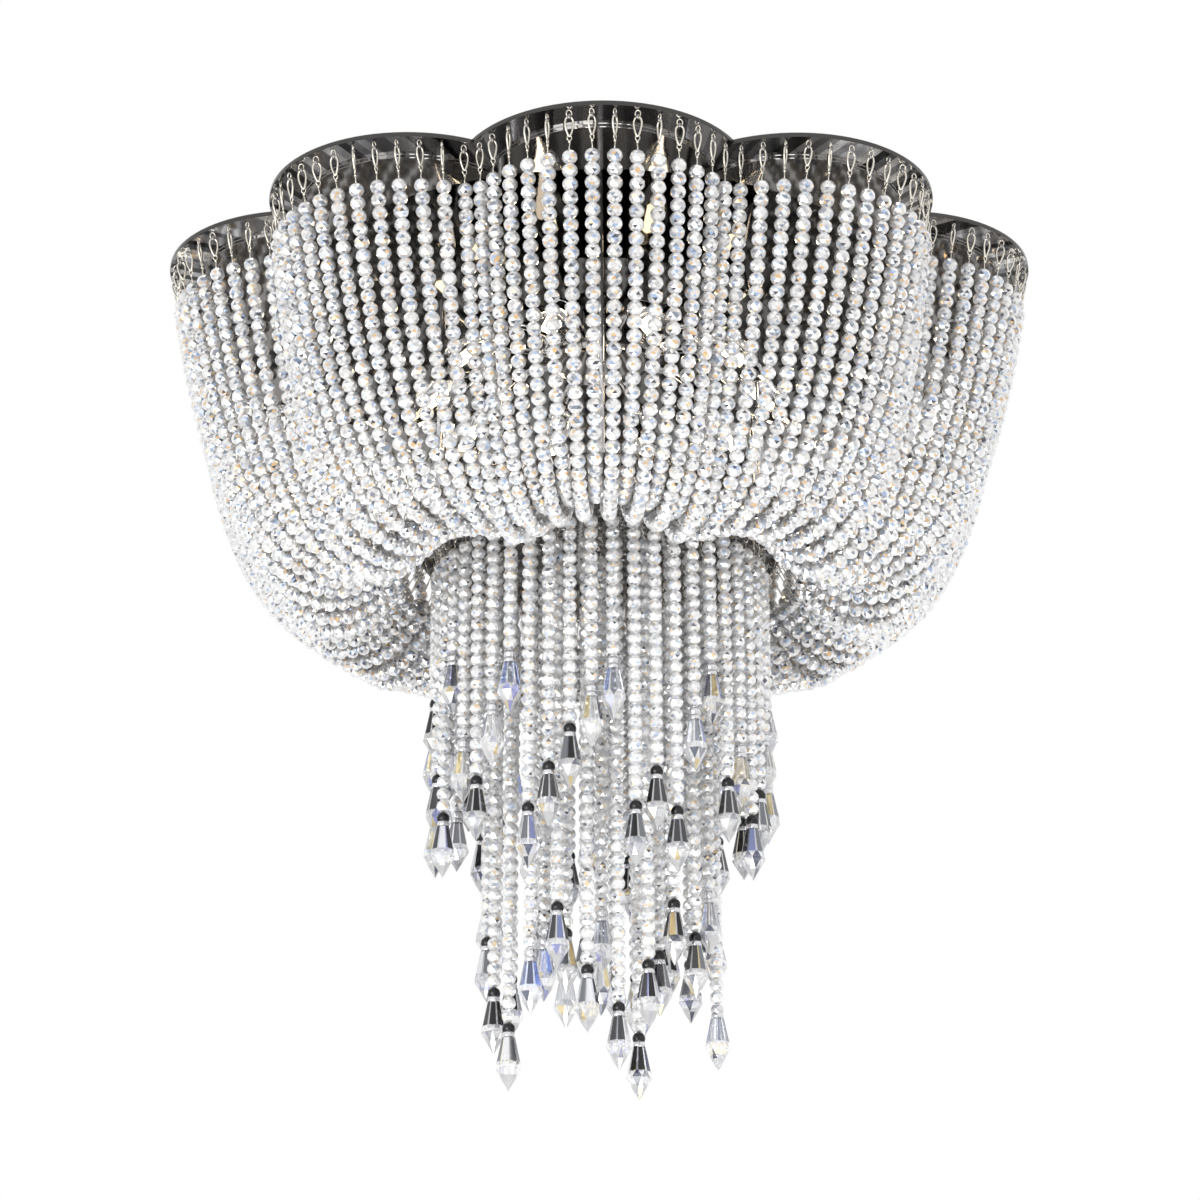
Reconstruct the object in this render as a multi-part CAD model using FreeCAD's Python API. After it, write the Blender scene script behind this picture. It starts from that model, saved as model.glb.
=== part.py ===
"""Flush-mounted crystal chandelier: a ten-lobed canopy pan, a bowl of hanging bead strands,
and three tiers of bead pendants that end in cut drops.

Frame: millimetres, +Z up. The origin is the centre of the face that meets the ceiling (z = 0), and
everything hangs below it. Azimuth 0 is the front (-Y) and grows towards +X.
"""
import math
import os

import FreeCAD, Part

V = FreeCAD.Vector

# ---- canopy pan: pressed sheet, ten round lobes ----
RIM_RADIUS = 400.0          # centre to the outermost point of a lobe
LOBES = 10
LOBE_CENTRE = 276.0         # centre to the centre of a lobe's arc
SHEET = 1.5
LIP_HEIGHT = 4.0            # upright outer lip
FLANGE_WIDTH = 28.0         # almost level underside behind the lip
FLANGE_DROP = 1.5
STEP_HEIGHT = 3.5           # from the flange down to the shelf
LOBE_SIDES = 22             # flats round a whole lobe
PAN_DEPTH = 23.0            # ceiling to the flat middle of the mirror bottom
WELL_R, WELL_TOP_R = 165.0, 300.0   # the flat middle, and where its cone meets the shelf
WELL_SIDES = 30

# ---- ceiling bracket ----
BRACKET_X, BRACKET_Y, BRACKET_T = 170.0, 250.0, 3.0
CEILING_HOLE_X, CEILING_HOLE_Y, CEILING_HOLE_R = 60.0, 100.0, 3.5
CABLE_X, CABLE_R = 30.0, 8.0
STUD_Y, STUD_R, STUD_END = 75.0, 3.0, -31.0
STUD_SIDES, STUD_PLAY = 12, 0.5     # flats round a stud, and the pan's clearance round it
NUT_R, NUT_LENGTH = 6.5, 10.0
RUNNING = 0.06              # radial clearance of a stud in its nut
TERMINAL = (40.0, 22.0, 12.0)
TERMINAL_X = 62.0

# ---- lower dish that carries the pendants and the inner ends of the bowl strands ----
ROD_RADIUS = 151.0          # circle of the ten suspension rods
ROD_R = 3.0
ROD_NUT_R, ROD_NUT_T = 5.0, 5.0
DISH_Z = -240.0             # underside
DISH_R, DISH_RIM_R = 163.0, 174.0
DISH_RIM_Z = -214.0
DISH_SHEET = 2.0
DISH_SIDES = 32

# ---- lamps ----
HUB_R, HUB_BOTTOM, HUB_SIDES = 44.0, -52.0, 16
LAMP_SIDES = 6              # flats round an arm, a lampholder and a bulb
ARM_R = 4.0
ARM_PATH = ((HUB_R - 1.0, -38.0), (88.0, -33.0), (108.0, -42.0))    # radius, height
LAMP_TILT = 45.0            # degrees below level
HOLDER_R, HOLDER_LENGTH, HOLDER_SHOULDER = 12.5, 30.0, 6.0
BULB_PROFILE = ((0.0, 6.5), (27.0, 17.5), (50.0, 11.0), (78.0, 1.5))  # distance from the holder, radius

# ---- bead strands of the bowl ----
BEAD_D = 12.4
BAR = 0.74                  # side of the square bar with a strand's mean section, in bead diameters
STRANDS_PER_LOBE = 14
HOOK_INSET, HOOK_Z = 4.0, -5.0
CLIP_LENGTH = 34.5          # hook and clip between the rim and the first bead
HOOK_WIRE_R = 1.6
RUN_ENDS = (0.44, 0.645, 0.80)   # where a strand's straight runs meet, as shares of its length
RUN_BULGE = 3.0             # the runs' corners stand this far outside the hanging curve
# inner end's radius and height, and hanging length: neighbours take turns in two layers
LAYERS = ((176.0, -218.0, 441.0), (167.5, -238.0, 449.0))

# ---- pendants: how far each one's tip hangs below the ceiling, going round from the front ----
OUTER_TIPS = (446, 574, 542, 575, 484, 440, 540, 505, 564, 536,
              478, 440, 510, 455, 508, 470, 522, 462, 530, 485,
              450, 512, 475, 535, 460, 500, 530, 468, 515, 450,
              490, 526, 472, 514, 455, 495, 535, 468, 440, 516,
              556, 416, 500, 538, 476, 432, 572, 538, 506, 471)
MIDDLE_TIPS = (734, 696, 640, 664, 620, 714, 636, 618, 655, 628, 660, 644,
               614, 572, 630, 668, 622, 612, 655, 706, 742, 682, 646, 702)
INNER_TIPS = (640, 746, 668, 640, 672, 650, 664, 620, 655, 655)
# name, pendants per group, radius, first pendant's place in steps, tips
TIERS = (
    ("outer", 5, 146.0, 0.5, OUTER_TIPS),
    ("middle", 3, 99.0, 0.5, MIDDLE_TIPS),
    ("inner", 2, 52.0, 0.0, INNER_TIPS),
)
PENDANT_GAP = 0.8           # swing clearance under the dish
PENDANT_HOOK = 20.0
PENDANT_BEAD_D = 11.2
DROP_LENGTH = 47.0
DROP_PROFILE = ((0.0, 5.0), (28.5, 10.5))    # distance below the neck, radius; then the point
DROP_SIDES = 6
BALL_R = 6.2


def at(radius, azimuth, z=0.0):
    """Point at a radius and azimuth (degrees; 0 is the front)."""
    a = math.radians(azimuth)
    return V(radius * math.sin(a), -radius * math.cos(a), z)


def save(name, *solids):
    shape = solids[0] if len(solids) == 1 else Part.makeCompound(list(solids))
    for solid in shape.Solids:
        if not solid.isValid() or solid.Volume <= 0:
            raise ValueError("bad solid in " + name)
    shape.exportStep("parts/%s.step" % name)


def ring(sides, radius, centre, axis, turn=0.5):
    """Regular polygon of points round an axis."""
    side = axis.cross(V(0, 0, 1))
    if side.Length < 1e-6:
        side = V(1, 0, 0)
    side.normalize()
    up = side.cross(axis).normalize()
    points = []
    for i in range(sides):
        a = 2 * math.pi * (i + turn) / sides
        points.append(centre + side * (radius * math.cos(a)) + up * (radius * math.sin(a)))
    return points


def polygon(points):
    return Part.makePolygon(points + [points[0]])


def closed(faces):
    solid = Part.makeSolid(Part.makeShell(faces))
    if solid.Volume < 0:
        solid.reverse()
    return solid


def skin(rings, tip=None):
    """Solid through rings of points, with flat faces; it ends in a flat cap or at a point."""
    sides = len(rings[0])
    faces = [Part.Face(polygon(rings[0]))]
    for a, b in zip(rings, rings[1:]):
        for i in range(sides):
            j = (i + 1) % sides
            faces.append(Part.Face(polygon([a[i], a[j], b[j], b[i]])))
    if tip is None:
        faces.append(Part.Face(polygon(rings[-1])))
    else:
        last = rings[-1]
        faces += [Part.Face(polygon([last[i], last[(i + 1) % sides], tip])) for i in range(sides)]
    return closed(faces)


def faceted(start, axis, stations, sides, tip=None):
    """Turned form with flat sides: stations are (distance, radius), tip an end point's distance."""
    axis = V(axis).normalize()
    rings = [ring(sides, r, start + axis * d, axis) for d, r in stations]
    return skin(rings, None if tip is None else start + axis * tip)


def rod(start, end, radius, sides):
    axis = end - start
    return faceted(start, axis, ((0.0, radius), (axis.Length, radius)), sides)


# ---------------------------------------------------------------- canopy
def lobe_half_angle(inset):
    """Half the arc of one lobe, and the arc's radius, for an outline moved in by inset."""
    radius = RIM_RADIUS - LOBE_CENTRE - inset
    half = math.pi / LOBES
    reach = LOBE_CENTRE * math.cos(half)
    corner = reach + math.sqrt(reach ** 2 - LOBE_CENTRE ** 2 + radius ** 2)
    angle = math.atan2(corner * math.sin(half), corner * math.cos(half) - LOBE_CENTRE)
    return angle, radius


def lobed_body(outset, lift, top):
    """Ten turned lobes, the decagon inside them and the cone below; outset and lift move the skin."""
    up = V(0, 0, 1)
    radius = RIM_RADIUS - LOBE_CENTRE + outset
    step_radius = radius - FLANGE_WIDTH
    flange, lip = STEP_HEIGHT, STEP_HEIGHT + FLANGE_DROP
    bottom = lift - LIP_HEIGHT - lip
    height = top - bottom
    stations = ((0.0, step_radius), (flange, step_radius), (lip, radius), (height, radius))
    lobes = []
    for k in range(LOBES):
        lobe = faceted(at(LOBE_CENTRE, 0.0, bottom), up, stations, LOBE_SIDES)
        lobe.rotate(V(0, 0, 0), up, k * 360.0 / LOBES)
        lobes.append(lobe)
    middle = faceted(V(0, 0, bottom), up, ((0.0, LOBE_CENTRE), (height, LOBE_CENTRE)), LOBES)
    floor = lift - PAN_DEPTH
    cone = ((0.0, WELL_R), (bottom - floor, WELL_TOP_R), (bottom - floor + 1.0, WELL_TOP_R))
    well = faceted(V(0, 0, floor), up, cone, WELL_SIDES)
    return middle.multiFuse(lobes + [well]).removeSplitter()


def canopy_pan():
    """Open-topped pan: upright lip, flange, small step to a shelf, shallow cone, flat middle."""
    pan = lobed_body(0.0, 0.0, 0.0).cut(lobed_body(-SHEET, SHEET, 5.0))
    for side in (-1, 1):
        below = V(0, side * STUD_Y, -PAN_DEPTH - SHEET)
        pan = pan.cut(rod(below, below + V(0, 0, 3 * SHEET), STUD_R + STUD_PLAY, STUD_SIDES))
    return pan


def ceiling_bracket():
    plate = Part.makeBox(BRACKET_X, BRACKET_Y, BRACKET_T, V(-BRACKET_X / 2, -BRACKET_Y / 2, -BRACKET_T))
    holes = [Part.makeCylinder(CABLE_R, 10, V(CABLE_X, 0, -6))]
    for x in (-CEILING_HOLE_X, CEILING_HOLE_X):
        for y in (-CEILING_HOLE_Y, CEILING_HOLE_Y):
            holes.append(Part.makeCylinder(CEILING_HOLE_R, 10, V(x, y, -6)))
    plate = plate.cut(Part.makeCompound(holes))
    for side in (-1, 1):
        plate = plate.fuse(stud(side, STUD_R, STUD_END))
    return plate.removeSplitter()


def stud(side, radius, end):
    return rod(V(0, side * STUD_Y, end), V(0, side * STUD_Y, -BRACKET_T), radius, STUD_SIDES)


def cap_nut(side):
    """Closed hexagon nut under the pan, on one of the bracket's studs."""
    top = V(0, side * STUD_Y, -PAN_DEPTH)
    nut = faceted(top, V(0, 0, -1), ((0.0, NUT_R), (NUT_LENGTH * 0.6, NUT_R), (NUT_LENGTH, NUT_R * 0.5)), 6)
    return nut.cut(stud(side, STUD_R + RUNNING, STUD_END - STUD_PLAY))


def terminal_block():
    x, y, z = TERMINAL
    return Part.makeBox(x, y, z, V(TERMINAL_X, -y / 2, -BRACKET_T - z))


# ---------------------------------------------------------------- lower dish and its rods
def lower_dish():
    """Shallow dish with a flared rim."""
    flare = (DISH_RIM_R - DISH_R) / (DISH_RIM_Z - DISH_Z)
    wall = DISH_SHEET * math.hypot(1.0, flare)
    up = V(0, 0, 1)

    def body(low, high, inset):
        stations = [(z - low, DISH_R - inset + flare * (z - DISH_Z)) for z in (low, high)]
        return faceted(V(0, 0, low), up, stations, DISH_SIDES)

    return body(DISH_Z, DISH_RIM_Z, 0.0).cut(body(DISH_Z + DISH_SHEET, DISH_RIM_Z + 5.0, wall))


def suspension_rods():
    step = 360.0 / LOBES
    return [rod(at(ROD_RADIUS, k * step, -PAN_DEPTH), at(ROD_RADIUS, k * step, DISH_Z + DISH_SHEET), ROD_R, 6)
            for k in range(LOBES)]


def rod_nuts():
    step = 360.0 / LOBES
    return [rod(at(ROD_RADIUS, k * step, DISH_Z), at(ROD_RADIUS, k * step, DISH_Z - ROD_NUT_T), ROD_NUT_R, 6)
            for k in range(LOBES)]


# ---------------------------------------------------------------- lamps
def lamp_azimuths():
    return [(k + 0.5) * 360.0 / LOBES for k in range(LOBES)]


def lamp_hub():
    return rod(V(0, 0, HUB_BOTTOM), V(0, 0, -PAN_DEPTH), HUB_R, HUB_SIDES)


def lamp_axis(azimuth):
    tilt = math.radians(LAMP_TILT)
    return at(math.cos(tilt), azimuth, -math.sin(tilt))


def lamp_arm(azimuth):
    """Tube from the hub to the lampholder, with one bend."""
    points = [at(r, azimuth, z) for r, z in ARM_PATH]
    first = (points[1] - points[0]).normalize()
    second = (points[2] - points[1]).normalize()
    sides = [ring(LAMP_SIDES, ARM_R, point, axis)
             for point, axis in zip(points, (first, (first + second).normalize(), lamp_axis(azimuth)))]
    faces = [Part.Face(polygon(sides[0])), Part.Face(polygon(sides[-1]))]
    for a, b in zip(sides, sides[1:]):
        for i in range(LAMP_SIDES):
            j = (i + 1) % LAMP_SIDES
            faces.append(Part.Face(polygon([a[i], a[j], b[j]])))
            faces.append(Part.Face(polygon([a[i], b[j], b[i]])))
    return closed(faces)


def lampholder(azimuth):
    start = at(ARM_PATH[-1][0], azimuth, ARM_PATH[-1][1])
    stations = ((0.0, HOLDER_R * 0.6), (HOLDER_SHOULDER, HOLDER_R), (HOLDER_LENGTH, HOLDER_R))
    return faceted(start, lamp_axis(azimuth), stations, LAMP_SIDES)


def bulb(azimuth):
    axis = lamp_axis(azimuth)
    start = at(ARM_PATH[-1][0], azimuth, ARM_PATH[-1][1]) + axis * HOLDER_LENGTH
    return faceted(start, axis, BULB_PROFILE, LAMP_SIDES)


# ---------------------------------------------------------------- bowl of bead strands
class HangingCurve:
    """Catenary of a given length from a hook at distance 0 to a lower hook at distance span."""

    def __init__(self, span, rise, length):
        self.span, self.length = span, length
        stretch = math.sqrt(length ** 2 - rise ** 2) / span
        low, high = 1e-3, 12.0
        for _ in range(60):
            middle = (low + high) / 2
            if math.sinh(middle) / middle < stretch:
                low = middle
            else:
                high = middle
        self.a = span / (2 * low)
        self.lowest = span / 2 - self.a * math.asinh(rise / (2 * self.a * math.sinh(low)))

    def point(self, s):
        """Distance from the hook, height above it and slope angle, at length s along the strand."""
        before = self.a * math.sinh(self.lowest / self.a)
        x = self.lowest + self.a * math.asinh((s - before) / self.a)
        height = self.a * (math.cosh((x - self.lowest) / self.a) - math.cosh(self.lowest / self.a))
        return x, height, math.atan2(s - before, self.a)


def strand_ends(index):
    """Rim hook, inner hook and hanging length of bowl strand number index."""
    lobe, place = divmod(index, STRANDS_PER_LOBE)
    half, radius = lobe_half_angle(HOOK_INSET)
    turn = -half + 2 * half * (place + 0.5) / STRANDS_PER_LOBE
    out, side = LOBE_CENTRE + radius * math.cos(turn), radius * math.sin(turn)
    azimuth = lobe * 360.0 / LOBES + math.degrees(math.atan2(side, out))
    rim = at(math.hypot(out, side), azimuth, HOOK_Z)
    inner_radius, inner_z, length = LAYERS[index % 2]
    inner_azimuth = 360.0 * (index + 0.5) / (LOBES * STRANDS_PER_LOBE) - 180.0 / LOBES
    return rim, at(inner_radius, inner_azimuth, inner_z), length


def bowl_strand(index):
    """The strand's rim hook and clip, and its beads as one mitred square bar along the curve."""
    rim, inner, length = strand_ends(index)
    level = V(inner.x - rim.x, inner.y - rim.y, 0)
    span = level.Length
    level.normalize()
    across = level.cross(V(0, 0, 1)).normalize()
    curve = HangingCurve(span, inner.z - rim.z, length)

    def place(s, outwards):
        x, height, slope = curve.point(s)
        x += outwards * math.sin(slope)
        height -= outwards * math.cos(slope)
        return V(rim.x + level.x * x, rim.y + level.y * x, rim.z + height)

    stations = [CLIP_LENGTH] + [share * length for share in RUN_ENDS] + [length]
    last = len(stations) - 1
    width = BAR * BEAD_D
    under, over = [], []
    for i, s in enumerate(stations):
        bulge = RUN_BULGE if 0 < i < last else 0.0
        under.append(place(s, bulge + width / 2))
        over.append(place(s, bulge - width / 2))
    side = Part.Face(polygon(under + over[::-1]))
    side.translate(across * (-width / 2))
    beads = side.extrude(across * width)
    clip = rod(place(0.0, 0.0), place(CLIP_LENGTH - 0.2, 0.0), HOOK_WIRE_R, 3)
    return clip, beads


# ---------------------------------------------------------------- pendants
def pendant(radius, azimuth, depth):
    """Wire hook, bead strand, small ball and cut drop, hanging from the dish."""
    down = V(0, 0, -1)
    top = DISH_Z - PENDANT_GAP
    first_bead = top - PENDANT_HOOK
    neck = -depth + DROP_LENGTH
    ball_top = neck + 2 * BALL_R
    hook = rod(at(radius, azimuth, first_bead), at(radius, azimuth, top), 1.2, 3)
    corner = BAR * PENDANT_BEAD_D / math.sqrt(2)
    beads = rod(at(radius, azimuth, ball_top), at(radius, azimuth, first_bead), corner, 4)
    ball = small_ball(at(radius, azimuth, neck + BALL_R))
    drop = faceted(at(radius, azimuth, neck), down, DROP_PROFILE, DROP_SIDES, DROP_LENGTH)
    return [hook, beads, ball, drop]


def small_ball(centre):
    """Ball with the fewest facets: two four-sided pyramids base to base."""
    square = ring(4, BALL_R, centre, V(0, 0, 1))
    faces = []
    for end in (V(0, 0, BALL_R), V(0, 0, -BALL_R)):
        for i in range(4):
            faces.append(Part.Face(polygon([square[i], square[(i + 1) % 4], centre + end])))
    return closed(faces)


def pendant_groups(per_group, radius, first, tips):
    """The tier's pendants, with neighbours gathered into groups."""
    step = 360.0 / len(tips)
    pendants = [pendant(radius, (number + first) * step, depth) for number, depth in enumerate(tips)]
    return [sum(pendants[i:i + per_group], []) for i in range(0, len(tips), per_group)]


def main():
    os.makedirs("parts", exist_ok=True)
    save("ceiling_bracket", ceiling_bracket())
    save("canopy_pan", canopy_pan())
    save("canopy_cap_nuts", cap_nut(-1), cap_nut(1))
    save("terminal_block", terminal_block())
    save("suspension_rods", *suspension_rods())
    save("suspension_rod_nuts", *rod_nuts())
    save("lower_dish", lower_dish())
    hub = lamp_hub()
    save("lamp_hub", hub)
    save("lamp_arms", *[lamp_arm(a).cut(hub) for a in lamp_azimuths()])
    save("lampholders", *[lampholder(a) for a in lamp_azimuths()])
    save("bulbs", *[bulb(a) for a in lamp_azimuths()])
    clips = []
    for lobe in range(LOBES):
        strands = [bowl_strand(lobe * STRANDS_PER_LOBE + i) for i in range(STRANDS_PER_LOBE)]
        clips += [clip for clip, _ in strands]
        save("bowl_strands_%02d" % (lobe + 1), *[beads for _, beads in strands])
    save("rim_hooks", *clips)
    for name, per_group, radius, first, tips in TIERS:
        for group, solids in enumerate(pendant_groups(per_group, radius, first, tips)):
            save("%s_pendants_%02d" % (name, group + 1), *solids)


main()
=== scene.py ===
"""Looks of the crystal chandelier: faceted beads on the strands, wire hooks, cut drops, dark mirror
metal, glowing lamps, and a plain pale studio. Everything is in metres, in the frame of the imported
model: +Z up, origin in the ceiling plane, azimuth 0 at the front (-Y) and growing towards +X.
"""

import math

import bpy
import numpy as np
from mathutils import Matrix, Vector


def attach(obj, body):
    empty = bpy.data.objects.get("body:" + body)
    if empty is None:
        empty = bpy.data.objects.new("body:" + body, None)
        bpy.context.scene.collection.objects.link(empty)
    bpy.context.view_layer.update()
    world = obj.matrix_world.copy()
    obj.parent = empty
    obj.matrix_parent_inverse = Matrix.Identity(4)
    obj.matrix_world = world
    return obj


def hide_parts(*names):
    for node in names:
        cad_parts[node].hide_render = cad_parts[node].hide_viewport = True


MM = 0.001

# ---- canopy pan ----
RIM_RADIUS = 400 * MM
LOBES = 10
LOBE_CENTRE = 276 * MM
LOBE_STEPS = 32              # points along one lobe
# the sheet's section in millimetres, from the ceiling side round the lip to the shelf: distance in from
# the outline, and height
LIP_SECTION = ((29.5, -7.5), (29.5, -4.0), (1.5, -2.5), (1.5, -0.4), (1.3, 0.0), (0.4, 0.0), (0.0, -0.4),
               (0.0, -3.6), (0.4, -4.1))
FLANGE_SECTION = ((0.4, -4.1), (27.6, -5.5))
STEP_SECTION = ((27.6, -5.5), (28.0, -5.9), (28.0, -8.6), (28.4, -9.0))
WELL_SECTION = ((300.0, -9.0), (165.0, -23.0))      # radius and height of the pan's cone
SHEET = 1.5 * MM

# ---- bead strands ----
BEAD_R = 6.6 * MM
BEAD_FLATNESS = 0.93         # a bead's height beside its width
BEAD_PITCH = 11.4 * MM       # along the strand
BEAD_LATITUDES = (-68, -42, -14, 14, 42, 68)     # rings of corners, in degrees
BEAD_SIDES = 8
STRANDS_PER_LOBE = 14
HOOK_INSET = 4 * MM          # from the outline to the rim hooks
HOOK_Z = -5.0 * MM
CLIP_LENGTH = 34.5 * MM      # hook and clip between the rim and the first bead
TAIL_LENGTH = 26 * MM        # bare wire at a strand's inner end
TAIL_OVERLAP = 2 * MM        # the wire starts this far inside the last bead
TAIL_POINTS = 5
# radius and height of the inner end, and length: neighbours take turns in two layers
LAYERS = ((176 * MM, -218 * MM, 441 * MM), (167.5 * MM, -238 * MM, 449 * MM))

# ---- wire clips, hanging down from their hole: millimetres ----
# closed eyes: width, height, middle's height, narrowing below, wire radius, points round
RIM_CLIP_EYES = ((4.6, 6.0, -3.2, 0.0, 0.55, 12), (6.4, 17.0, -14.2, 0.45, 0.9, 16),
                 (3.8, 4.6, -24.0, 0.0, 0.5, 10))
RIM_CLIP_STEM = ((0.0, -26.0), (0.3, -29.0), (-0.3, -32.0), (0.0, -35.2))        # sideways, height
COLLAR_SECTION = ((0.0, -28.4), (1.1, -28.2), (1.3, -27.4), (1.1, -26.6), (0.0, -26.4))
COLLAR_SIDES = 8
PENDANT_CLIP_EYES = ((4.4, 5.4, -1.4, 0.0, 0.55, 12), (5.6, 11.0, -8.6, 0.25, 0.7, 14))
PENDANT_CLIP_STEM = ((0.0, -13.6), (0.2, -16.0), (0.0, -20.6))
STRAND_END_EYE = (7.2, 7.6, 1.5, 0.0, 0.55, 12)
WIRE_R = 0.5 * MM
WIRE_SIDES = 6
KNOB_R = 2.2 * MM            # ball in the clip's first eye
KNOB_DROP = 5.6 * MM
KNOB_SIDES = 10

# ---- dish, rods and lamps: sections and paths are radius and height in millimetres ----
DISH_Z = -240 * MM           # underside
DISH_SECTION = ((0.0, -240.0), (160.5, -240.0), (162.6, -239.2), (173.4, -214.4), (173.2, -213.8),
                (171.6, -213.8), (171.0, -214.6), (161.0, -237.6), (159.6, -238.0), (0.0, -238.0))
HUB_R = 44.0
HUB_SECTION = ((0.0, -52.0), (38.0, -52.0), (42.0, -51.0), (43.7, -48.0), (HUB_R, -45.0), (HUB_R, -23.0),
               (0.0, -23.0))
ROD_RADIUS = 151 * MM        # circle of the ten rods
ROD_R = 3 * MM
ROD_TOP = -23 * MM
ROD_NUT = (5 * MM, 5 * MM)       # radius to a corner, and height
NUT_CHAMFER = (0.8, 0.7)         # share of the radius that it cuts to, and of the height where it starts
NUT_SIDES = 6
ARM_R = 4 * MM
ARM_PATH = ((43, -38), (60, -34.5), (76, -33), (88, -33.6), (98, -36.5), (108, -42))
LAMP_TILT = math.radians(45)     # below level
# radius and distance along the lamp's axis, in millimetres
HOLDER_SECTION = ((0.0, 0.0), (7.0, 0.0), (9.2, 2.0), (12.0, 6.0), (12.5, 8.0), (12.5, 12.0), (11.8, 12.6),
                  (11.8, 14.4), (12.5, 15.0), (12.5, 28.5), (12.0, 30.0), (6.6, 30.0), (6.6, 26.0),
                  (0.0, 26.0))
BULB_SECTION = ((0.0, 26.5), (6.4, 26.5), (6.4, 31.0), (9.0, 38.0), (14.0, 47.0), (16.8, 55.0), (17.2, 60.0),
                (16.0, 68.0), (12.8, 78.0), (8.6, 88.0), (4.6, 97.0), (2.0, 103.0), (1.0, 107.0),
                (0.0, 108.0))
FILAMENT_SECTION = ((0.0, 48.0), (3.0, 50.0), (3.0, 70.0), (0.0, 72.0))
DISH_SIDES, HUB_SIDES, HOLDER_SIDES, BULB_SIDES, FILAMENT_SIDES = 96, 64, 32, 28, 12
ROD_SIDES, ARM_SIDES = 16, 14

# ---- pendants: name, pendants per group, groups, radius, first one's place in steps ----
TIERS = (("outer", 5, 10, 146 * MM, 0.5), ("middle", 3, 8, 99 * MM, 0.5), ("inner", 2, 5, 52 * MM, 0.0))
CLEAR_ABOVE = -515 * MM      # drops that end above this height are mostly clear, the lower ones mostly dark
CLEAR_HIGH, CLEAR_LOW = 0.85, 0.15
PENDANT_BEAD = 0.94          # size of a pendant's bead beside one of the bowl
PENDANT_HOOK = 20 * MM       # hook and clip between the gap and the first bead
PENDANT_GAP = 0.8 * MM       # room under the dish for the swing
DROP_LENGTH = 47 * MM
DROP_SIDES = 8
DROP_BEVEL = 0.11            # half the width of a bevel, in sides
# radius and height from the neck, in millimetres
DROP_SECTION = ((4.6, 0.0), (5.6, -2.4), (9.9, -23.0))
DROP_GIRDLE = (10.7, -28.5)
DROP_END_RING = (5.8, -37.5)
BALL_R = 5.6 * MM
BALL_SIDES = 16
NECK_SECTION = ((3.6, -2.6), (5.0, -2.2), (5.4, -0.8), (5.2, 1.2), (4.6, 2.6), (3.6, 3.4), (0.0, 3.6))
NECK_SIDES = 16
NEAR = 3 * MM                # the frame's points this near to a pendant's axis include its tip

# ---- camera, measured from the photograph ----
CAMERA_LENS = 100.8
CAMERA_SENSOR = 36.0
CAMERA_PLACE = Vector((-0.0323, -2.8044, -1.3745))
CAMERA_AIM = Vector((0.0, 0.0, -0.2816))
CAMERA_ROLL = math.radians(-0.25)
CAMERA_REACH = 100.0

# ---- studio ----
FLOOR_Z = -3.6
FLOOR_HALF = 30.0
FLOOR_COLOUR = (0.86, 0.86, 0.86, 1.0)
FLOOR_LIFT = 0.25            # how much paler the floor is to the eye than its lighting alone makes it
AMBIENT = 0.65               # the world's plain light, where 1 is white
LAMP_AIM = Vector((0.0, 0.0, -0.35))
# name, place, width, power in watts, and whether gloss shows the lamp
STUDIO_LAMPS = (
    ("key", (-1.7, -2.5, -1.0), 2.2, 47.0, True),
    ("fill", (1.9, -2.2, -1.5), 1.6, 38.0, False),
    ("under", (0.0, -0.8, -2.3), 1.6, 38.0, True),
)
GLOW_PLACE = (0.0, 0.0, -0.14)
GLOW_COLOUR = (1.0, 0.84, 0.66)
GLOW_RADIUS, GLOW_POWER = 0.06, 1.2

WHITE = (1.0, 1.0, 1.0, 1.0)
PAN_SHARP, LATHE_SHARP, TUBE_SHARP = 5, 28, 40     # edges bent by more degrees than this look sharp
SLANTED = 0.9                # a direction with less of an axis than this spans a plane with it

SEED = 7
random = np.random.default_rng(SEED)


def at(radius, azimuth, z=0.0):
    """Point at a radius and azimuth (degrees; 0 is the front)."""
    a = math.radians(azimuth)
    return np.array((radius * math.sin(a), -radius * math.cos(a), z))


# ---------------------------------------------------------------- meshes made in bulk
class Form:
    """A small mesh that is copied many times: points, and the faces' corners."""

    def __init__(self, points, faces):
        self.points = np.array(points, float)
        self.corners = np.concatenate([np.array(f) for f in faces])
        self.counts = np.array([len(f) for f in faces])


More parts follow.
